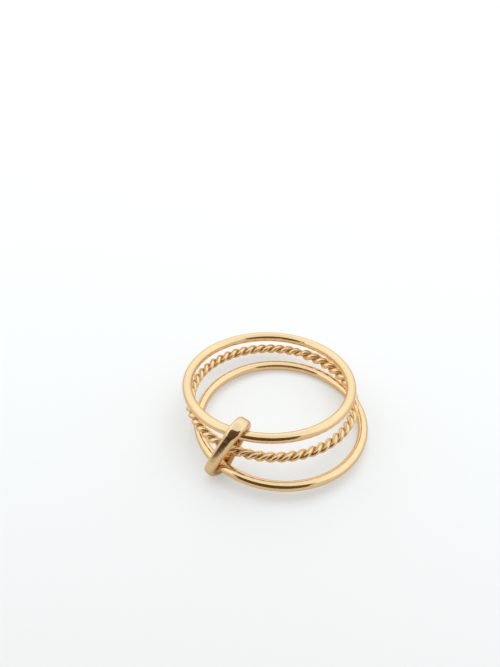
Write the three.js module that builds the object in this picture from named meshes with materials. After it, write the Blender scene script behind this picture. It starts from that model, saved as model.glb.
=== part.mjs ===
// Linked stacking ring: three slim bands threaded through one small closed connector link.
// It lies fanned open on a flat surface. Millimetres, +Z up, origin at the bottom centre.
import * as THREE from 'three';
import { ParametricGeometry } from 'three/addons/geometries/ParametricGeometry.js';

// Driving sizes of the bands
const FINGER_DIAMETER = 17.3;
const WIRE_DIAMETER = 1.1;
const STRAND_DIAMETER = 0.6;
const STRAND_OVERLAP = 0.08;
const TWIST_COUNT = 25;

// Driving sizes of the connector link
const LINK_BAR_THICKNESS = 0.85;
const LINK_BAR_WIDTH = 1.24;
const LINK_EDGE_RADIUS = 0.37;
const LINK_SIDE_PLAY = 0.25;
const LINK_LOWER_PLAY = 0.14;
const LINK_UPPER_PLAY = 0.33;

// How the bands stand apart inside the link, and the gap kept where one rests on the next
const LOWER_BAND_SPACE = 1.23;
const UPPER_BAND_SPACE = 0.89;
const REST_GAP = 0.35;

// How the link stands: the way its slot faces, how far it leans and towards where, in degrees
const LINK_FACING = -132.5;
const LINK_LEAN = 27;
const LINK_LEAN_HEADING = 27;

// How far the link's ends are twisted each way to follow the fan, in degrees, and the share by
// which its bar is wider at the upper end and narrower at the lower one
const LINK_TWIST = 11.5;
const LINK_TAPER = 0.24;

// Each band leaves the link with its own heading, and its wire climbs a little through it
const POSTURE = {
  band_lower: { heading: -136, climb: 1.3 },
  band_twisted: { heading: -120.5, climb: 2.9 },
  band_upper: { heading: -112.3, climb: 3.4 },
};

// Fineness of the meshes
const BAND_STEPS = 72;
const WIRE_SIDES = 10;
const STEPS_PER_TWIST = 10;
const TWIST_SIDES = 12;
const LINK_ARC_STEPS = 10;
const LINK_LEG_STEPS = 6;
const LINK_EDGE_STEPS = 3;
const SEARCH_STEPS = 40;
const CONTACT_SAMPLES = 180;
const STEEPEST_SWING = 30;

// Sizes that follow from the driving ones
const STRAND_SPACING = STRAND_DIAMETER - STRAND_OVERLAP;
const TWIST_DIAMETER = STRAND_SPACING + STRAND_DIAMETER;
const WIDEST_BAND = Math.max(WIRE_DIAMETER, TWIST_DIAMETER);
const WIRE_RADIUS = WIRE_DIAMETER / 2;
const TWIST_RADIUS = TWIST_DIAMETER / 2;
const BAND_RADIUS = (FINGER_DIAMETER + WIDEST_BAND) / 2;
const SLOT_WIDTH = WIDEST_BAND + 2 * LINK_SIDE_PLAY;
const LOWER_STEP = LOWER_BAND_SPACE + WIRE_RADIUS + TWIST_RADIUS;
const UPPER_STEP = UPPER_BAND_SPACE + WIRE_RADIUS + TWIST_RADIUS;
const SLOT_LENGTH = LOWER_STEP + UPPER_STEP + WIRE_DIAMETER + LINK_LOWER_PLAY + LINK_UPPER_PLAY;
const LINK_LENGTH = SLOT_LENGTH + 2 * LINK_BAR_THICKNESS;

const radians = THREE.MathUtils.degToRad;

function heading(degrees) {
  return new THREE.Vector3(Math.cos(radians(degrees)), Math.sin(radians(degrees)), 0);
}

// The link's axes: up along its length, out across its slot, and through its hole
function linkAxes() {
  const up = heading(LINK_LEAN_HEADING).multiplyScalar(Math.sin(radians(LINK_LEAN)));
  up.z = Math.cos(radians(LINK_LEAN));
  const out = heading(LINK_FACING);
  out.addScaledVector(up, -out.dot(up)).normalize();
  const through = new THREE.Vector3().crossVectors(out, up);
  return { up, out, through };
}

// Height of the leaning link's middle when its lowest point touches the surface
function linkCentreHeight(geometry, { up, out, through }) {
  const points = geometry.attributes.position;
  let lowestZ = Infinity;
  for (let i = 0; i < points.count; i++) {
    const z = points.getX(i) * out.z + points.getY(i) * up.z + points.getZ(i) * through.z;
    lowestZ = Math.min(lowestZ, z);
  }
  return -lowestZ;
}

// A band that passes through the link at a point, swung up by an angle about its own wire there
function bandPose(crossing, posture, swing) {
  const flatOut = heading(posture.heading);
  const along = heading(posture.heading + 90).multiplyScalar(Math.cos(radians(posture.climb)));
  along.z = Math.sin(radians(posture.climb));
  const level = new THREE.Vector3().crossVectors(flatOut, along);
  const out = flatOut.multiplyScalar(Math.cos(swing)).addScaledVector(level, Math.sin(swing));
  const axis = new THREE.Vector3().crossVectors(out, along);
  const centre = crossing.clone().addScaledVector(out, -BAND_RADIUS);
  return { crossing, along, out, axis, centre };
}

function lowestPoint(pose) {
  return pose.centre.z - BAND_RADIUS * Math.sqrt(1 - pose.axis.z ** 2);
}

// Shortest way between the middle lines of two bands
function nearestWay(pose, other) {
  let nearest = Infinity;
  for (let i = 0; i < CONTACT_SAMPLES; i++) {
    const turn = (2 * Math.PI * i) / CONTACT_SAMPLES;
    const spoke = pose.out.clone().multiplyScalar(Math.cos(turn));
    spoke.addScaledVector(pose.along, Math.sin(turn));
    const point = pose.centre.clone().addScaledVector(spoke, BAND_RADIUS).sub(other.centre);
    const height = point.dot(other.axis);
    const reach = Math.sqrt(point.lengthSq() - height ** 2);
    nearest = Math.min(nearest, Math.hypot(height, reach - BAND_RADIUS));
  }
  return nearest;
}

// Swings a band down about its wire in the link until what is left under it is used up
function swingDown(crossing, posture, spaceLeft) {
  let high = 0;
  let low = radians(STEEPEST_SWING);
  for (let i = 0; i < SEARCH_STEPS; i++) {
    const middle = (high + low) / 2;
    if (spaceLeft(bandPose(crossing, posture, middle)) > 0) high = middle;
    else low = middle;
  }
  return bandPose(crossing, posture, high);
}

function placeBand(mesh, pose) {
  const frame = new THREE.Matrix4().makeBasis(pose.out, pose.along, pose.axis);
  mesh.quaternion.setFromRotationMatrix(frame);
  mesh.position.copy(pose.centre);
  return mesh;
}

function goldMesh(name, geometry, colour, roughness) {
  const material = new THREE.MeshStandardMaterial({ color: colour, roughness, metalness: 1 });
  const mesh = new THREE.Mesh(geometry, material);
  mesh.name = name;
  return mesh;
}

function plainBand(name) {
  const geometry = new THREE.TorusGeometry(BAND_RADIUS, WIRE_RADIUS, WIRE_SIDES, BAND_STEPS);
  return goldMesh(name, geometry, 0xf0cf9a, 0.16);
}

// Reach from the middle of two twisted strands to their skin, at an angle from the line that
// joins them. A strand is cut aslant there, so its section is an oval, wider across.
function twistReach(angle) {
  const offset = STRAND_SPACING / 2;
  const windLength = (2 * Math.PI * BAND_RADIUS) / TWIST_COUNT;
  const across = (STRAND_DIAMETER / 2) * Math.hypot(1, (2 * Math.PI * offset) / windLength);
  const deep = STRAND_DIAMETER / 2;
  const c = Math.abs(Math.cos(angle)) / deep;
  const s = Math.sin(angle) / across;
  const squares = c * c + s * s;
  const along = (offset / deep) * c;
  return (along + Math.sqrt(along * along + squares * (1 - (offset / deep) ** 2))) / squares;
}

// Two round wires twisted together and soldered into one closed band
function twistedBand(name) {
  const skin = (aroundBand, aroundSection, target) => {
    const turn = 2 * Math.PI * aroundBand;
    const angle = 2 * Math.PI * aroundSection;
    const reach = twistReach(angle);
    const direction = angle + TWIST_COUNT * turn;
    const radius = BAND_RADIUS + reach * Math.cos(direction);
    target.set(
      radius * Math.cos(turn),
      radius * Math.sin(turn),
      reach * Math.sin(direction),
    );
  };
  const steps = TWIST_COUNT * STEPS_PER_TWIST;
  return goldMesh(name, new ParametricGeometry(skin, steps, TWIST_SIDES), 0xe6bf86, 0.22);
}

// A slot outline with half-round ends, long way along Y
function slotOutline(curve, width, length) {
  const straightHalf = (length - width) / 2;
  curve.absarc(0, straightHalf, width / 2, 0, Math.PI, false);
  for (let i = 1; i < LINK_LEG_STEPS; i++) {
    curve.lineTo(-width / 2, straightHalf * (1 - (2 * i) / LINK_LEG_STEPS));
  }
  curve.absarc(0, -straightHalf, width / 2, Math.PI, 2 * Math.PI, false);
  for (let i = 1; i < LINK_LEG_STEPS; i++) {
    curve.lineTo(width / 2, straightHalf * ((2 * i) / LINK_LEG_STEPS - 1));
  }
  curve.closePath();
  return curve;
}

// Narrows the bar towards the lower end and twists the ends apart about the link's length
function twistAndTaper(geometry) {
  const points = geometry.attributes.position;
  const length = new THREE.Vector3(0, 1, 0);
  const point = new THREE.Vector3();
  for (let i = 0; i < points.count; i++) {
    point.fromBufferAttribute(points, i);
    const share = (2 * point.y) / LINK_LENGTH;
    point.z *= 1 + LINK_TAPER * share;
    point.applyAxisAngle(length, radians(LINK_TWIST) * share);
    points.setXYZ(i, point.x, point.y, point.z);
  }
  geometry.computeVertexNormals();
  return geometry;
}

// Closed oval link, a flat bar bent round and its edges rounded over
function linkGeometry() {
  const inset = 2 * (LINK_BAR_THICKNESS - LINK_EDGE_RADIUS);
  const outline = slotOutline(new THREE.Shape(), SLOT_WIDTH + inset, SLOT_LENGTH + inset);
  const hole = 2 * LINK_EDGE_RADIUS;
  outline.holes.push(slotOutline(new THREE.Path(), SLOT_WIDTH + hole, SLOT_LENGTH + hole));
  const depth = LINK_BAR_WIDTH - 2 * LINK_EDGE_RADIUS;
  const geometry = new THREE.ExtrudeGeometry(outline, {
    depth,
    curveSegments: LINK_ARC_STEPS,
    bevelEnabled: true,
    bevelThickness: LINK_EDGE_RADIUS,
    bevelSize: LINK_EDGE_RADIUS,
    bevelSegments: LINK_EDGE_STEPS,
  });
  geometry.translate(0, 0, -depth / 2);
  return twistAndTaper(geometry);
}

function connectorLink(name, geometry, axes, centre) {
  const mesh = goldMesh(name, geometry, 0xe9c48c, 0.14);
  mesh.quaternion.setFromRotationMatrix(
    new THREE.Matrix4().makeBasis(axes.out, axes.up, axes.through),
  );
  mesh.position.copy(centre);
  return mesh;
}

// The link stands on its lower end, and the bands cross its slot one above another
const axes = linkAxes();
const link = linkGeometry();
const linkCentre = new THREE.Vector3(0, 0, linkCentreHeight(link, axes));
const lowest = LINK_LOWER_PLAY + WIRE_RADIUS - SLOT_LENGTH / 2;
const crossingAt = (along) => linkCentre.clone().addScaledVector(axes.up, along);

const lowerPose = swingDown(
  crossingAt(lowest),
  POSTURE.band_lower,
  (pose) => lowestPoint(pose) - WIRE_RADIUS,
);
const twistedPose = swingDown(
  crossingAt(lowest + LOWER_STEP),
  POSTURE.band_twisted,
  (pose) => nearestWay(pose, lowerPose) - WIRE_RADIUS - TWIST_RADIUS - REST_GAP,
);
const upperPose = swingDown(
  crossingAt(lowest + LOWER_STEP + UPPER_STEP),
  POSTURE.band_upper,
  (pose) => nearestWay(pose, twistedPose) - WIRE_RADIUS - TWIST_RADIUS - REST_GAP,
);

const ring = new THREE.Group();
ring.add(
  placeBand(plainBand('band_lower'), lowerPose),
  placeBand(twistedBand('band_twisted'), twistedPose),
  placeBand(plainBand('band_upper'), upperPose),
  connectorLink('connector_link', link, axes, linkCentre),
);

// The bottom centre of the whole ring becomes the origin
ring.updateMatrixWorld(true);
const box = new THREE.Box3().setFromObject(ring, true);
ring.position.set(-(box.min.x + box.max.x) / 2, -(box.min.y + box.max.y) / 2, -box.min.z);

export default ring;
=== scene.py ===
# %% [markdown]
# # A linked stacking ring
# Three slim gold bands pass through one small oval link, which makes them a single ring. Two of
# the bands are plain round wire and the middle one is twisted like rope. They lie fanned open on
# white. Each cell of this lesson makes one piece or one finish. Every piece takes its place and
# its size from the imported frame, so nothing is fitted by eye.

import math

import bmesh
import bpy
import numpy as np
from mathutils import Matrix, Vector, noise


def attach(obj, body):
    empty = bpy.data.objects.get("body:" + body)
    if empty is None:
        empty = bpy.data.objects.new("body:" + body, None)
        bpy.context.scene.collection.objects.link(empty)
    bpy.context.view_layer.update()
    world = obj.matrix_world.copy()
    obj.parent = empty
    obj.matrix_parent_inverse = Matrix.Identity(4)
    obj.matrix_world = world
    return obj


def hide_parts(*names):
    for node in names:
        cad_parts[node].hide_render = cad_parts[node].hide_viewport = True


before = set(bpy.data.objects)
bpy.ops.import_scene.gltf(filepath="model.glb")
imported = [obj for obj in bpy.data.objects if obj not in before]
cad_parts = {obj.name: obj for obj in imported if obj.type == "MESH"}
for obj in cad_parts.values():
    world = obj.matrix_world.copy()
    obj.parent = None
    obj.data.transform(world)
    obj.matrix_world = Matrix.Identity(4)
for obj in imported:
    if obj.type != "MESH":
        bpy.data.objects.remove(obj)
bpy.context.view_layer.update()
MM = 0.001
print("frame nodes:", sorted(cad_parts))

# %% [markdown]
# ## Where the bands and the link lie
# A round band is known by its middle, its axis and two radii: that of the circle and that of its
# wire. All four can be measured on the frame's mesh. The points of a ring spread widely in its
# plane and hardly at all along its axis, so the direction of least spread is the axis. The same
# trick finds the link's length. The link is twisted and tapers, so its width and thickness are
# taken from the points in its waist alone.

# %% Measure the frame
SAME_POINT_DIGITS = 8
LINK_WAIST = 0.1 * MM


def node_points(node):
    """A node's corner points in metres, each of them once."""
    points = [vertex.co[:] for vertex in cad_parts[node].data.vertices]
    return np.unique(np.round(points, SAME_POINT_DIGITS), axis=0)


def spread_axes(points):
    """Unit directions of the greatest, middle and least spread of some points."""
    values, vectors = np.linalg.eigh(np.cov((points - points.mean(axis=0)).T))
    return [Vector(vectors[:, column]) for column in (2, 1, 0)]


def measure_link(node):
    """The link's centre, its three directions and its size across, along and through."""
    points = node_points(node)
    centre = Vector(points.mean(axis=0))
    up = spread_axes(points)[0]
    up = up if up.z > 0 else -up
    heights = (points - np.array(centre)) @ np.array(up)
    waist = points[np.abs(heights) < LINK_WAIST]
    out = spread_axes(waist)[0]
    out = (out - up * out.dot(up)).normalized()
    out = out if out.y < 0 else -out
    through = out.cross(up)
    across, thick = (np.ptp(waist @ np.array(axis)) for axis in (out, through))
    size = (across, np.ptp(heights), thick)
    return {"centre": centre, "out": out, "up": up, "through": through, "size": size}


def measure_band(node, link_centre):
    """A band's centre, its directions with out towards the link, and its two radii."""
    points = node_points(node)
    centre = Vector(points.mean(axis=0))
    axis = spread_axes(points)[2]
    axis = axis if axis.z > 0 else -axis
    out = link_centre - centre
    out = (out - axis * out.dot(axis)).normalized()
    spokes = points - np.array(centre)
    heights = spokes @ np.array(axis)
    reaches = np.sqrt((spokes ** 2).sum(axis=1) - heights ** 2)
    return {
        "centre": centre, "axis": axis, "out": out, "along": axis.cross(out),
        "radius": (reaches.max() + reaches.min()) / 2,
        "wire": (reaches.max() - reaches.min()) / 2,
    }


link = measure_link("connector_link")
bands = {
    name: measure_band(name, link["centre"])
    for name in ("band_lower", "band_twisted", "band_upper")
}
for name, band in bands.items():
    print(f"{name}: middle radius {band['radius'] / MM:.2f} mm, wire {band['wire'] / MM:.2f} mm")
print("link across, long, thick (mm):", [round(side / MM, 2) for side in link["size"]])
print("the link faces", [round(part, 3) for part in link["out"]])

# %% [markdown]
# ## The camera
# The photo was taken close by, from about 43 degrees above the surface, with the ring a little
# below the middle. A camera can be aimed at a point or turned by its angles. Angles are used here,
# because the ring isn't in the middle of the picture: the pitch is the photo's own, and a
# hand-held camera is never quite level, hence the small roll.

# %% Camera at the photo's viewing angle
PHOTO_SIZE = (500, 667)
FOCAL_PIXELS = 700
SENSOR = 36.0
CAMERA_PLACE = Vector((-2.883, -52.689, 61.76)) * MM
CAMERA_PITCH = math.radians(42.75)
CAMERA_ROLL = math.radians(0.56)
CLOSEST_VIEW = 5 * MM

camera_data = bpy.data.cameras.new("photo_camera")
camera_data.sensor_fit = "VERTICAL"
camera_data.sensor_height = SENSOR
camera_data.lens = SENSOR * FOCAL_PIXELS / PHOTO_SIZE[1]
camera_data.clip_start = CLOSEST_VIEW
camera = bpy.data.objects.new("photo_camera", camera_data)
pitched = Matrix.Rotation(math.pi / 2 - CAMERA_PITCH, 4, "X")
rolled = Matrix.Rotation(CAMERA_ROLL, 4, "Z")
camera.matrix_world = Matrix.Translation(CAMERA_PLACE) @ pitched @ rolled
bpy.context.collection.objects.link(camera)
bpy.context.scene.camera = camera
print(f"lens {camera_data.lens:.1f} mm, {CAMERA_PLACE.length / MM:.0f} mm from the origin")

# %% [markdown]
# ## Node helpers
# A material in Blender is a graph of nodes. Three small helpers keep the cells below short: one
# adds a node with its settings, one joins two sockets, and one starts an empty node group with
# named inputs and outputs.

# %% Helpers for node graphs
def add_node(tree, kind, **settings):
    node = tree.nodes.new(kind)
    for key, value in settings.items():
        if key in node.inputs:
            node.inputs[key].default_value = value
        else:
            setattr(node, key, value)
    return node


def join(tree, start, end):
    tree.links.new(start, end)


def new_group(name, inputs, outputs):
    tree = bpy.data.node_groups.new(name, "ShaderNodeTree")
    for direction, sockets in (("INPUT", inputs), ("OUTPUT", outputs)):
        for label, kind, value in sockets:
            socket = tree.interface.new_socket(label, in_out=direction, socket_type=kind)
            if value is not None:
                socket.default_value = value
    return tree, tree.nodes.new("NodeGroupInput"), tree.nodes.new("NodeGroupOutput")


# %% [markdown]
# ## Hand-polished gold
# Polished gold isn't one flat colour. The buffing wheel leaves hairlines, the alloy is a little
# redder where it is less worn, and handling clouds the shine in soft patches. Painting maps would
# need image files, so the marks are worked out from noise instead. Every gold piece has the same
# marks at its own strength, so they are one group, placed in three materials.

# %% The group of polishing marks
COLOUR = "NodeSocketColor"
NUMBER = "NodeSocketFloat"

polish, polish_in, polish_out = new_group(
    "hand_polish",
    [
        ("Worn Colour", COLOUR, (1, 1, 1, 1)),
        ("Deep Colour", COLOUR, (1, 1, 1, 1)),
        ("Wear And Shade", NUMBER, 0.5),
        ("Shine", NUMBER, 0.1),
        ("Cloudiness", NUMBER, 0.1),
    ],
    [("Colour", COLOUR, None), ("Roughness", NUMBER, None), ("Height", NUMBER, None)],
)

CLOUDS_PER_METRE = 260
HAIRLINES_PER_METRE = 2600
HAIRLINE_STRETCH = (1.0, 0.12, 1.0)
HAIRLINE_TURNS = (0.0, 1.1, 2.2)
HAIRLINE_TILT = 0.4
HAIRLINE_STARTS = 0.60
HAIRLINE_FULL = 0.66
PITS_PER_METRE = 5200

place = add_node(polish, "ShaderNodeTexCoord")
clouds = add_node(polish, "ShaderNodeTexNoise", Scale=CLOUDS_PER_METRE, Detail=4.0, Roughness=0.6)
join(polish, place.outputs["Object"], clouds.inputs["Vector"])

hairlines = []
for turn in HAIRLINE_TURNS:
    stretched = add_node(polish, "ShaderNodeMapping", Scale=HAIRLINE_STRETCH)
    stretched.inputs["Rotation"].default_value = (turn, HAIRLINE_TILT * turn, turn)
    join(polish, place.outputs["Object"], stretched.inputs["Vector"])
    lines = add_node(polish, "ShaderNodeTexNoise", Scale=HAIRLINES_PER_METRE, Detail=2.0)
    join(polish, stretched.outputs["Vector"], lines.inputs["Vector"])
    thin = add_node(polish, "ShaderNodeMapRange")
    thin.inputs["From Min"].default_value = HAIRLINE_STARTS
    thin.inputs["From Max"].default_value = HAIRLINE_FULL
    join(polish, lines.outputs["Fac"], thin.inputs["Value"])
    hairlines.append(thin)

both = add_node(polish, "ShaderNodeMath", operation="MAXIMUM")
join(polish, hairlines[0].outputs["Result"], both.inputs[0])
join(polish, hairlines[1].outputs["Result"], both.inputs[1])
scratches = add_node(polish, "ShaderNodeMath", operation="MAXIMUM")
join(polish, both.outputs["Value"], scratches.inputs[0])
join(polish, hairlines[2].outputs["Result"], scratches.inputs[1])

pits = add_node(polish, "ShaderNodeTexNoise", Scale=PITS_PER_METRE, Detail=1.0)
join(polish, place.outputs["Object"], pits.inputs["Vector"])

# %% [markdown]
# The clouds shift the metal between its worn and its deep colour and dull the shine a little. The
# hairlines dull it too. In the relief they lie below the surface, and the pits are the fine grain
# between them.

# %% Join the marks to the group's outputs
CLOUD_IN_COLOUR = 0.35
SCRATCH_DULLNESS = 0.05
SCRATCH_RELIEF = -0.5

tone = add_node(polish, "ShaderNodeMix", data_type="RGBA")
amount = add_node(polish, "ShaderNodeMath", operation="MULTIPLY_ADD")
amount.inputs[1].default_value = CLOUD_IN_COLOUR
join(polish, clouds.outputs["Fac"], amount.inputs[0])
join(polish, polish_in.outputs["Wear And Shade"], amount.inputs[2])
amount.use_clamp = True
join(polish, amount.outputs["Value"], tone.inputs["Factor"])
join(polish, polish_in.outputs["Deep Colour"], tone.inputs["A"])
join(polish, polish_in.outputs["Worn Colour"], tone.inputs["B"])
join(polish, tone.outputs["Result"], polish_out.inputs["Colour"])

cloudy = add_node(polish, "ShaderNodeMath", operation="MULTIPLY")
join(polish, clouds.outputs["Fac"], cloudy.inputs[0])
join(polish, polish_in.outputs["Cloudiness"], cloudy.inputs[1])
scratchy = add_node(polish, "ShaderNodeMath", operation="MULTIPLY_ADD")
scratchy.inputs[1].default_value = SCRATCH_DULLNESS
join(polish, scratches.outputs["Value"], scratchy.inputs[0])
join(polish, cloudy.outputs["Value"], scratchy.inputs[2])
dull = add_node(polish, "ShaderNodeMath", operation="ADD")
join(polish, scratchy.outputs["Value"], dull.inputs[0])
join(polish, polish_in.outputs["Shine"], dull.inputs[1])
join(polish, dull.outputs["Value"], polish_out.inputs["Roughness"])

relief = add_node(polish, "ShaderNodeMath", operation="MULTIPLY_ADD")
relief.inputs[1].default_value = SCRATCH_RELIEF
join(polish, scratches.outputs["Value"], relief.inputs[0])
join(polish, pits.outputs["Fac"], relief.inputs[2])
join(polish, relief.outputs["Value"], polish_out.inputs["Height"])
print("polish group has", len(polish.nodes), "nodes")

# %% [markdown]
# ## Three golds
# The plain bands are the brightest. The rope band is the same metal, but shade is painted into
# its grooves: a value stored on its mesh, low in a groove and 1 on a crest, mixes in a deeper
# colour there, and small strands are harder to buff, so they shine less. The link is handled
# most: its edges are worn pale, and shade is painted deep on the inner half of its bar, towards
# the slot. A Principled shader with full Metallic gives the reflection, and a small Bump the marks.

# %% Make a gold from its own values
BUMP_DISTANCE = 0.004 * MM


def gold(name, worn, deep, wear, shine, cloudiness, bump, wear_and_shade_by=None):
    """Polished gold. Its last argument: a mesh value high where rubbed, low where shade is painted.
    """
    material = bpy.data.materials.new(name)
    material.use_nodes = True
    tree = material.node_tree
    shader = tree.nodes["Principled BSDF"]
    shader.inputs["Metallic"].default_value = 1.0
    marks = add_node(tree, "ShaderNodeGroup", node_tree=polish)
    marks.inputs["Worn Colour"].default_value = (*worn, 1)
    marks.inputs["Deep Colour"].default_value = (*deep, 1)
    marks.inputs["Wear And Shade"].default_value = wear
    marks.inputs["Shine"].default_value = shine
    marks.inputs["Cloudiness"].default_value = cloudiness
    if wear_and_shade_by:
        wear_and_shade = add_node(tree, "ShaderNodeAttribute", attribute_name=wear_and_shade_by)
        spread = add_node(tree, "ShaderNodeMapRange")
        spread.inputs["To Max"].default_value = wear
        join(tree, wear_and_shade.outputs["Fac"], spread.inputs["Value"])
        join(tree, spread.outputs["Result"], marks.inputs["Wear And Shade"])
    join(tree, marks.outputs["Colour"], shader.inputs["Base Color"])
    join(tree, marks.outputs["Roughness"], shader.inputs["Roughness"])
    relief_bump = add_node(tree, "ShaderNodeBump", Strength=bump, Distance=BUMP_DISTANCE)
    join(tree, marks.outputs["Height"], relief_bump.inputs["Height"])
    join(tree, relief_bump.outputs["Normal"], shader.inputs["Normal"])
    return material


plain_gold = gold(
    "plain_band_gold", worn=(1.0, 0.775, 0.46), deep=(0.93, 0.64, 0.32),
    wear=0.5, shine=0.05, cloudiness=0.10, bump=0.35,
)
# The rope's deep colour is painted shade, laid into its grooves by the crest value.
rope_gold = gold(
    "rope_band_gold", worn=(1.0, 0.75, 0.42), deep=(0.60, 0.35, 0.14),
    wear=0.9, shine=0.21, cloudiness=0.12, bump=0.35, wear_and_shade_by="crest",
)
# The link's worn colour is real wear on its outside and edges; its deep colour is painted shade
# inside.
link_gold = gold(
    "link_gold", worn=(1.0, 0.785, 0.475), deep=(0.55, 0.31, 0.12),
    wear=0.7, shine=0.05, cloudiness=0.10, bump=0.35, wear_and_shade_by="edge",
)
print("golds:", plain_gold.name, rope_gold.name, link_gold.name)

# %% [markdown]
# ## From bmesh to a piece
# A bmesh is a mesh being edited. When it is done it is turned into its resting place, its faces
# are made to point outwards, and it becomes an object that sits at the origin. The same cell says
# which body the piece moves with and which frame node it stands for.

# %% Turn a bmesh into a finished piece
def resting_place(x_axis, y_axis, z_axis, centre):
    turned = Matrix((x_axis, y_axis, z_axis)).transposed().to_4x4()
    return Matrix.Translation(centre) @ turned


def finish_piece(bm, name, material, pose, body, node):
    bmesh.ops.transform(bm, matrix=pose, verts=bm.verts)
    bmesh.ops.recalc_face_normals(bm, faces=bm.faces)
    for face in bm.faces:
        face.smooth = True
    mesh = bpy.data.meshes.new(name)
    bm.to_mesh(mesh)
    bm.free()
    mesh.materials.append(material)
    piece = bpy.data.objects.new(name, mesh)
    bpy.context.collection.objects.link(piece)
    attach(piece, body)
    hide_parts(node)
    print(f"{name}: {len(mesh.polygons)} faces")
    return piece


# %% [markdown]
# ## The plain bands
# A plain band is round wire bent into a circle, soldered and polished. In Blender it could be a
# torus, but a circle that is spun round the band's middle makes the same skin and shows how a
# lathe thinks. Handwork is never perfectly true, so the wire is then moved by a few thousandths
# of a millimetre, which bends the reflections as on real metal, and it is filed a hair thinner at
# its solder joint. Blender's noise starts from the clock unless it is given a seed, so it gets one.

# %% Spin round wire into a band
BAND_STEPS = 360
WIRE_SIDES = 32
WAVER = 0.012 * MM
WAVER_PER_METRE = 210
WAVER_SEED = 5
JOINT_WIDTH = math.radians(1.6)
JOINT_THINNING = 0.03


def gap_between(angle, other):
    """The shorter way round from one angle to another."""
    return abs((angle - other + math.pi) % (2 * math.pi) - math.pi)


def spin_wire(radius, wire):
    bm = bmesh.new()
    bmesh.ops.create_circle(bm, cap_ends=False, segments=WIRE_SIDES, radius=wire)
    upright = Matrix.Rotation(math.pi / 2, 3, "X")
    bmesh.ops.rotate(bm, verts=bm.verts, cent=(0, 0, 0), matrix=upright)
    bmesh.ops.translate(bm, verts=bm.verts, vec=(radius, 0, 0))
    bmesh.ops.spin(
        bm, geom=bm.verts[:] + bm.edges[:], cent=(0, 0, 0), axis=(0, 0, 1), dvec=(0, 0, 0),
        angle=2 * math.pi, steps=BAND_STEPS, use_merge=True,
    )
    return bm


noise.seed_set(WAVER_SEED)


def plain_band(name, node, body, joint_angle, seed):
    band = bands[node]
    bm = spin_wire(band["radius"], band["wire"])
    for vertex in bm.verts:
        turn = math.atan2(vertex.co.y, vertex.co.x)
        middle = Vector((math.cos(turn), math.sin(turn), 0)) * band["radius"]
        joint = math.exp(-(gap_between(turn, joint_angle) / JOINT_WIDTH) ** 2)
        spoke = (vertex.co - middle) * (1 - JOINT_THINNING * joint)
        waver = noise.noise_vector(middle * WAVER_PER_METRE + Vector((seed, 0, 0)))
        vertex.co = middle + spoke + waver * WAVER
    pose = resting_place(band["out"], band["along"], band["axis"], band["centre"])
    return finish_piece(bm, name, plain_gold, pose, body, node)


# %% Make the lower and the upper band
UPPER_JOINT = math.radians(175.7)
LOWER_JOINT = math.radians(200)
lower_band = plain_band("lower_band", "band_lower", "base", LOWER_JOINT, seed=3)
upper_band = plain_band("upper_band", "band_upper", "upper", UPPER_JOINT, seed=8)

# %% [markdown]
# ## The rope band
# Two round wires are twisted together, bent round and soldered. Two coiled curves with a bevel
# would be quick, but they would only pass through each other. Here the pair is one skin. Cut
# square across, a twisted strand shows a bean, because the cut meets it aslant, and two beans side
# by side make the section. A spin about the rope's own line with a step forward at each turn, as a
# screw thread is made, turns that section into straight rope. The rope is then bent round.

# %% The section of two twisted strands
TWIST_COUNT = 25
STRAND_RADIUS = 0.3 * MM
STEPS_PER_TWIST = 24
LOBE_POINTS = 15
HALVINGS = 40

rope = bands["band_twisted"]
strand_offset = rope["wire"] - STRAND_RADIUS
twist_length = 2 * math.pi * rope["radius"] / TWIST_COUNT
climb = twist_length / (2 * math.pi)
slope_length = math.hypot(climb, strand_offset)


def strand_point(around):
    """A point of the slanting cut through a strand, at an angle round the strand's own wire."""
    slip = STRAND_RADIUS * math.sin(around) * strand_offset / (slope_length * climb)
    radial = strand_offset + STRAND_RADIUS * math.cos(around)
    sideways = STRAND_RADIUS * math.sin(around) * climb / slope_length
    return Vector((
        radial * math.cos(slip) - sideways * math.sin(slip),
        radial * math.sin(slip) + sideways * math.cos(slip),
    ))


def groove_angle():
    """How far round its wire a strand shows before it dips into the groove."""
    shown, hidden = 0.0, math.pi
    for _ in range(HALVINGS):
        middle = (shown + hidden) / 2
        if strand_point(middle).x > 0:
            shown = middle
        else:
            hidden = middle
    return shown


reach = groove_angle()
print(f"each strand shows over {math.degrees(2 * reach):.0f} degrees of its wire")

# %% Screw the section into straight rope
def straight_rope():
    """Both strands as one skin along the x axis, with how near a point is to a crest."""
    bm = bmesh.new()
    crest = bm.verts.layers.float.new("crest")
    ring = bmesh.ops.create_circle(bm, cap_ends=False, segments=2 * LOBE_POINTS, radius=1)
    for index, vertex in enumerate(ring["verts"]):
        lobe, step = divmod(index, LOBE_POINTS)
        around = reach * (2 * step / LOBE_POINTS - 1)
        point = strand_point(around) * (1 if lobe == 0 else -1)
        vertex.co = Vector((0, point.x, point.y))
        # The crest value also paints shade into the grooves, through the rope's gold.
        vertex[crest] = (point.length / rope["wire"]) ** 2
    bmesh.ops.spin(
        bm, geom=bm.verts[:] + bm.edges[:], cent=(0, 0, 0), axis=(1, 0, 0),
        dvec=(twist_length / STEPS_PER_TWIST, 0, 0),
        angle=2 * math.pi * TWIST_COUNT, steps=TWIST_COUNT * STEPS_PER_TWIST, use_merge=False,
    )
    return bm


# %% [markdown]
# The end of a rope is hard to hold while it is twisted, so on this band the last turns before the
# joint came out looser and thicker, and the joint itself was filed to a narrow neck. While the
# rope is bent round, its last stretch is untwisted by about half a turn and swollen. The other
# turns share that half turn, so both ends still meet.

# %% Bend the rope round and close it
ROPE_JOINT_WIDTH = math.radians(2.0)
ROPE_JOINT_THINNING = 0.24
ROPE_START = math.radians(187.2)
LOOSE_STRETCH = math.radians(75)
LOOSENING = 3.4
SWELLING = 0.17
SWELLING_PACE = 2
GROOVE_MARGIN = 1.01
MERGE_DISTANCE = 0.0005 * MM


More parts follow.
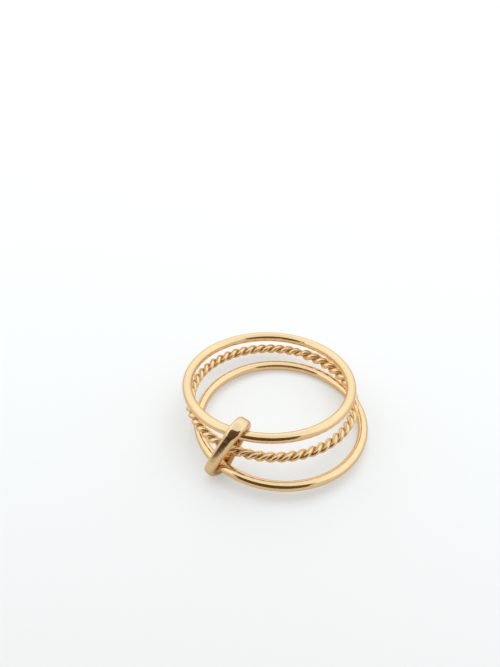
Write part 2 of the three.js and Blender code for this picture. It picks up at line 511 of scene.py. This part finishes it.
def loose_end(turn):
    """How far the rope is turned on and how much it is swollen at an angle round the band."""
    left = 2 * math.pi - turn
    if left > LOOSE_STRETCH:
        return LOOSENING * turn / (2 * math.pi - LOOSE_STRETCH), 1.0
    begun = math.sin(math.pi / 2 * (1 - left / LOOSE_STRETCH)) ** 2
    return LOOSENING * left / LOOSE_STRETCH, 1 + SWELLING * min(1, SWELLING_PACE * begun)


def bend_round(bm):
    """Turns length along the rope into an angle round the band, and joins the two ends."""
    length = TWIST_COUNT * twist_length
    for vertex in bm.verts:
        turn = 2 * math.pi * vertex.co.x / length
        joint = math.exp(-(gap_between(turn, 0) / ROPE_JOINT_WIDTH) ** 2)
        turned, swollen = loose_end(min(turn, 2 * math.pi))
        size = swollen + (1 - ROPE_JOINT_THINNING - swollen) * joint
        section = Matrix.Rotation(turned, 2) @ Vector((vertex.co.y, vertex.co.z)) * size
        radius = rope["radius"] + section.x
        angle = turn + ROPE_START
        vertex.co = Vector((radius * math.cos(angle), radius * math.sin(angle), section.y))
    bmesh.ops.remove_doubles(bm, verts=bm.verts, dist=MERGE_DISTANCE)


def mark_grooves(bm):
    """The two lines where the strands meet stay sharp, and the strands are shaded round."""
    crest = bm.verts.layers.float["crest"]
    lowest = min(vertex[crest] for vertex in bm.verts)
    for edge in bm.edges:
        edge.smooth = max(vertex[crest] for vertex in edge.verts) > lowest * GROOVE_MARGIN


rope_mesh = straight_rope()
bend_round(rope_mesh)
mark_grooves(rope_mesh)
rope_pose = resting_place(rope["out"], rope["along"], rope["axis"], rope["centre"])
rope_band = finish_piece(
    rope_mesh, "rope_band", rope_gold, rope_pose, "twisted", "band_twisted",
)

# %% [markdown]
# ## The oval link
# The link is a short bar bent into a long oval and soldered shut, then tumbled until its edges are
# soft. A torus stretched along one side would thin the bar where it bends. Instead its section is
# drawn once, a rectangle with bevelled corners, carried up one leg, spun over the top, carried
# down and spun back under. Fingers rub the outside of the bar, most of all its edges, so each
# point of the section stores its wear. Towards the slot that value fades to nothing, which paints
# shade on the inner half of the bar.

# %% The section of the bar
LINK_BAR_THICKNESS = 0.85 * MM
LINK_EDGE_RADIUS = 0.37 * MM
LINK_CORNER_STEPS = 7
EDGE_WEAR = 1.0
FACE_WEAR = 0.7
WEAR_TO_SHADE_FADE = 0.12 * MM

link_across, link_long, link_thick = link["size"]
leg_offset = (link_across - LINK_BAR_THICKNESS) / 2
leg_half = (link_long - link_across) / 2


def link_section():
    """The bar's outline at the foot of one leg, as a rim of edges without a face."""
    bm = bmesh.new()
    edge = bm.verts.layers.float.new("edge")
    bmesh.ops.create_grid(bm, x_segments=1, y_segments=1, size=0.5)
    bmesh.ops.scale(bm, vec=(LINK_BAR_THICKNESS, link_thick, 1), verts=bm.verts)
    bmesh.ops.bevel(
        bm, geom=bm.verts[:], offset=LINK_EDGE_RADIUS, offset_type="OFFSET",
        segments=LINK_CORNER_STEPS, profile=0.5, affect="VERTICES", material=-1,
    )
    bmesh.ops.delete(bm, geom=bm.faces[:], context="FACES_ONLY")
    flat = link_thick / 2 - LINK_EDGE_RADIUS
    for vertex in bm.verts:
        wear_and_shade = EDGE_WEAR if abs(vertex.co.y) > flat else FACE_WEAR
        # Towards the slot the value fades to 0: painted shade on the inner half of the bar.
        outside = (vertex.co.x + WEAR_TO_SHADE_FADE) / (2 * WEAR_TO_SHADE_FADE)
        vertex[edge] = wear_and_shade * max(0, min(1, outside))
    upright = Matrix.Rotation(math.pi / 2, 3, "X")
    bmesh.ops.rotate(bm, verts=bm.verts, cent=(0, 0, 0), matrix=upright)
    bmesh.ops.translate(bm, verts=bm.verts, vec=(leg_offset, -leg_half, 0))
    return bm


link_mesh = link_section()
print("the section has", len(link_mesh.verts), "points")

# %% Carry the section round the oval
LINK_END_STEPS = 24
LINK_LEG_STEPS = 12


def edges_of(geometry):
    return [item for item in geometry if isinstance(item, bmesh.types.BMEdge)]


def carry_leg(bm, rim, way):
    """Extrudes a rim along a leg, up for way 1 and down for way -1. Returns the last rim."""
    for _ in range(LINK_LEG_STEPS):
        made = bmesh.ops.extrude_edge_only(bm, edges=rim)["geom"]
        rim = edges_of(made)
        points = [item for item in made if isinstance(item, bmesh.types.BMVert)]
        step = Vector((0, way * 2 * leg_half / LINK_LEG_STEPS, 0))
        bmesh.ops.translate(bm, verts=points, vec=step)
    return rim


def spin_end(bm, rim, way):
    """Spins a rim half round an end of the oval. Returns the last rim."""
    corners = list(dict.fromkeys(vertex for item in rim for vertex in item.verts))
    made = bmesh.ops.spin(
        bm, geom=corners + rim, cent=(0, way * leg_half, 0), axis=(0, 0, 1), dvec=(0, 0, 0),
        angle=math.pi, steps=LINK_END_STEPS, use_merge=False,
    )
    return edges_of(made["geom_last"])


rim = carry_leg(link_mesh, link_mesh.edges[:], 1)
rim = spin_end(link_mesh, rim, 1)
rim = carry_leg(link_mesh, rim, -1)
rim = spin_end(link_mesh, rim, -1)
bmesh.ops.remove_doubles(link_mesh, verts=link_mesh.verts, dist=MERGE_DISTANCE)
print("the closed oval has", len(link_mesh.verts), "points")

# %% [markdown]
# The real link isn't even. Its outer faces are slightly domed and were filed a little aslant,
# which decides where the dark patch on its front lies. The bar is wider at the top, and the two
# ends are turned against each other so that the slot follows the fan of the bands. All of this is
# done point by point, by how far up the link and how far across the bar each point lies.

# %% Dome, file, widen and twist the link
LINK_DOME = 0.06 * MM
FACE_SLANT = math.tan(math.radians(8))
FACE_RISE = math.tan(math.radians(2))
LINK_TAPER = 0.24
LINK_TWIST = math.radians(11.5)


def shape_link(bm):
    for vertex in bm.verts:
        level = 2 * vertex.co.y / link_long
        side = 2 * vertex.co.z / link_thick
        beside = max(-leg_half, min(leg_half, vertex.co.y))
        away = Vector((vertex.co.x, vertex.co.y - beside, 0))
        outwards = away.length > leg_offset
        away.normalize()
        filed = LINK_DOME * (1 - side * side)
        filed += (FACE_SLANT * vertex.co.z - FACE_RISE * beside) * away.x
        vertex.co += away * filed * outwards
        vertex.co.z *= 1 + LINK_TAPER * level
        vertex.co = Matrix.Rotation(LINK_TWIST * level, 3, "Y") @ vertex.co


shape_link(link_mesh)
link_pose = resting_place(link["out"], link["up"], link["through"], link["centre"])
oval_link = finish_piece(
    link_mesh, "oval_link", link_gold, link_pose, "base", "connector_link",
)

# %% [markdown]
# ## Floor and light
# The ring lies on plain white paper under soft light from all round. Metal shows what surrounds
# it, so the light is the biggest part of the look of gold. A white world gives the bright
# reflections, a dark card near the camera draws the thin dark lines along the wires, and the paper,
# with a painted colour for reflections, gives the tan of their undersides. Lamps alone would leave
# the metal black between them.

# %% [markdown]
# The paper does three jobs. It glows a little, which is painted light that keeps the shadows
# under the wires pale. Its colour in reflections is painted too, dimmer and warmer than the camera
# sees it. At the left of that painted reflection a dark patch is painted in, with blurred edges.
# The camera doesn't see it, and only the front of the link mirrors it. A ray that comes from a
# polished face is told from the others by the Light Path node.

# %% The white floor
FLOOR_HALF = 600 * MM

floor_mesh = bpy.data.meshes.new("floor")
floor_bm = bmesh.new()
bmesh.ops.create_grid(floor_bm, x_segments=1, y_segments=1, size=FLOOR_HALF)
floor_bm.to_mesh(floor_mesh)
floor_bm.free()
floor = bpy.data.objects.new("floor", floor_mesh)
bpy.context.collection.objects.link(floor)
print("the floor is", round(2 * FLOOR_HALF, 2), "m wide")

# %% The paper as the camera and as the metal see it
PAPER_COLOUR = (0.54, 0.545, 0.54, 1)
# Painted reflections: the paper's colour and a dark patch, seen only by polished faces.
PAINTED_PAPER_REFLECTION = (0.41, 0.36, 0.32, 1)
PAINTED_DARK_REFLECTION = (0.035, 0.018, 0.006, 1)
# Painted light: the paper glows so that the shadows under the wires stay pale.
PAPER_GLOW = 0.66
PAPER_ROUGHNESS = 0.7
DARK_PATCH_TURN = math.radians(-225)
DARK_PATCH_NEAR_EDGE = 35 * MM
DARK_PATCH_LEFT_EDGE = -14 * MM
DARK_PATCH_BLUR = 3 * MM

paper = bpy.data.materials.new("white_paper")
paper.use_nodes = True
paper_tree = paper.node_tree
paper_shader = paper_tree.nodes["Principled BSDF"]
paper_shader.inputs["Roughness"].default_value = PAPER_ROUGHNESS
paper_shader.inputs["Specular IOR Level"].default_value = 0.0
paper_shader.inputs["Emission Strength"].default_value = PAPER_GLOW
paper_place = add_node(paper_tree, "ShaderNodeTexCoord")
paper_turn = add_node(paper_tree, "ShaderNodeMapping")
paper_turn.inputs["Rotation"].default_value = (0, 0, DARK_PATCH_TURN)
paper_split = add_node(paper_tree, "ShaderNodeSeparateXYZ")
join(paper_tree, paper_place.outputs["Object"], paper_turn.inputs["Vector"])
join(paper_tree, paper_turn.outputs["Vector"], paper_split.inputs["Vector"])
on_dark_patch = add_node(paper_tree, "ShaderNodeMath", operation="MULTIPLY")
for side, (axis, limit) in enumerate((("X", DARK_PATCH_NEAR_EDGE), ("Y", DARK_PATCH_LEFT_EDGE))):
    beyond = add_node(paper_tree, "ShaderNodeMapRange")
    beyond.inputs["From Min"].default_value = limit - DARK_PATCH_BLUR
    beyond.inputs["From Max"].default_value = limit + DARK_PATCH_BLUR
    join(paper_tree, paper_split.outputs[axis], beyond.inputs["Value"])
    join(paper_tree, beyond.outputs["Result"], on_dark_patch.inputs[side])
# The colour polished faces see is a painted reflection: dim warm paper, with a dark patch at the
# left.
painted_reflection = add_node(paper_tree, "ShaderNodeMix", data_type="RGBA")
painted_reflection.inputs["A"].default_value = PAINTED_PAPER_REFLECTION
painted_reflection.inputs["B"].default_value = PAINTED_DARK_REFLECTION
seen = add_node(paper_tree, "ShaderNodeMix", data_type="RGBA")
seen.inputs["A"].default_value = PAPER_COLOUR
ray = add_node(paper_tree, "ShaderNodeLightPath")
join(paper_tree, on_dark_patch.outputs["Value"], painted_reflection.inputs["Factor"])
join(paper_tree, painted_reflection.outputs["Result"], seen.inputs["B"])
join(paper_tree, ray.outputs["Is Glossy Ray"], seen.inputs["Factor"])
join(paper_tree, seen.outputs["Result"], paper_shader.inputs["Base Color"])
join(paper_tree, seen.outputs["Result"], paper_shader.inputs["Emission Color"])
floor_mesh.materials.append(paper)
print("the paper has", len(paper_tree.nodes), "nodes")

# %% [markdown]
# A room is never equally bright all round. The world is white with a slightly brighter belt above
# eye height, and it is dimmer at the front, where the camera and the person behind it stand. The
# bands are counted by height, from 0 straight below to 1 straight above. One large soft lamp from
# behind gives the shadows their direction, and it isn't mirrored in the metal.

# %% The room that the metal mirrors
SKY_BANDS = (
    (0.50, (0.88, 0.91, 0.92)),
    (0.62, (0.88, 0.91, 0.93)),
    (0.74, (0.96, 1.02, 1.05)),
    (0.88, (1.00, 1.06, 1.09)),
    (0.98, (0.84, 0.87, 0.89)),
)
SKY_STRENGTH = 1.05
FRONT_DIMNESS = 0.72
FRONT_STARTS = -0.35
FRONT_ENDS = -0.6

world = bpy.data.worlds.new("white_room")
world.use_nodes = True
world_tree = world.node_tree
background = world_tree.nodes["Background"]
background.inputs["Strength"].default_value = SKY_STRENGTH
sky_place = add_node(world_tree, "ShaderNodeTexCoord")
sky_split = add_node(world_tree, "ShaderNodeSeparateXYZ")
sky_ramp = add_node(world_tree, "ShaderNodeValToRGB")
stops = sky_ramp.color_ramp.elements
while len(stops) < len(SKY_BANDS):
    stops.new(0.5)
for stop, (height, colour) in zip(stops, SKY_BANDS):
    stop.position = height
    stop.color = (*colour, 1)
join(world_tree, sky_place.outputs["Generated"], sky_split.inputs["Vector"])
sky_height = add_node(world_tree, "ShaderNodeMapRange")
sky_height.inputs["From Min"].default_value = -1.0
join(world_tree, sky_split.outputs["Z"], sky_height.inputs["Value"])
join(world_tree, sky_height.outputs["Result"], sky_ramp.inputs["Fac"])
front = add_node(world_tree, "ShaderNodeMapRange")
front.inputs["From Min"].default_value = FRONT_ENDS
front.inputs["From Max"].default_value = FRONT_STARTS
front.inputs["To Min"].default_value = FRONT_DIMNESS
dimmed = add_node(world_tree, "ShaderNodeMix", data_type="RGBA", blend_type="MULTIPLY")
dimmed.inputs["Factor"].default_value = 1.0
join(world_tree, sky_split.outputs["Y"], front.inputs["Value"])
join(world_tree, sky_ramp.outputs["Color"], dimmed.inputs["A"])
join(world_tree, front.outputs["Result"], dimmed.inputs["B"])
join(world_tree, dimmed.outputs["Result"], background.inputs["Color"])
bpy.context.scene.world = world
print("the room has", len(SKY_BANDS), "bands of light")

# %% The soft lamp
SOFTBOX_SIZE = (300 * MM, 220 * MM)
SOFTBOX_PLACE = Vector((20, 100, 260)) * MM
SOFTBOX_LEAN = math.radians(-20)
SOFTBOX_WATTS = 0.3

softbox_data = bpy.data.lights.new("softbox", "AREA")
softbox_data.shape = "RECTANGLE"
softbox_data.size, softbox_data.size_y = SOFTBOX_SIZE
softbox_data.energy = SOFTBOX_WATTS
softbox = bpy.data.objects.new("softbox", softbox_data)
softbox.location = SOFTBOX_PLACE
softbox.rotation_euler = (SOFTBOX_LEAN, 0, 0)
softbox.visible_glossy = False
bpy.context.collection.objects.link(softbox)
bpy.context.scene.view_settings.view_transform = "Standard"
print("the lamp hangs", round(SOFTBOX_PLACE.z / MM), "mm above the paper")

# %% [markdown]
# The dark lines along the wires are one dark thing seen in many small mirrors: the camera and the
# hands that hold it. A brown card stands in for them. The camera looks through it, it throws no
# shadow, and its place and size set where the lines begin and end.

# %% The dark shape behind the camera
CARD_HALF_WIDTH = 76 * MM
CARD_HALF_HEIGHT = 54 * MM
CARD_DISTANCE = 95 * MM
CARD_HEADING = math.radians(-97)
CARD_ELEVATION = math.radians(27)
CARD_BROWN = (0.10, 0.052, 0.017, 1)
CARD_ROUGHNESS = 0.9

card_mesh = bpy.data.meshes.new("dark_card")
card_bm = bmesh.new()
bmesh.ops.create_grid(card_bm, x_segments=1, y_segments=1, size=1)
bmesh.ops.scale(card_bm, vec=(CARD_HALF_WIDTH, CARD_HALF_HEIGHT, 1), verts=card_bm.verts)
stand = Matrix.Rotation(math.pi / 2 - CARD_ELEVATION, 4, "X")
face_ring = Matrix.Rotation(CARD_HEADING + math.pi / 2, 4, "Z")
spot = Matrix.Translation(Vector((
    math.cos(CARD_HEADING) * math.cos(CARD_ELEVATION),
    math.sin(CARD_HEADING) * math.cos(CARD_ELEVATION),
    math.sin(CARD_ELEVATION),
)) * CARD_DISTANCE)
bmesh.ops.transform(card_bm, matrix=spot @ face_ring @ stand, verts=card_bm.verts)
card_bm.to_mesh(card_mesh)
card_bm.free()
card = bpy.data.objects.new("dark_card", card_mesh)
bpy.context.collection.objects.link(card)
card.visible_camera = False
card.visible_shadow = False

brown = bpy.data.materials.new("dark_brown")
brown.use_nodes = True
brown_shader = brown.node_tree.nodes["Principled BSDF"]
brown_shader.inputs["Base Color"].default_value = CARD_BROWN
brown_shader.inputs["Roughness"].default_value = CARD_ROUGHNESS
card_mesh.materials.append(brown)
print("the card stands", round(CARD_DISTANCE / MM), "mm from the ring")
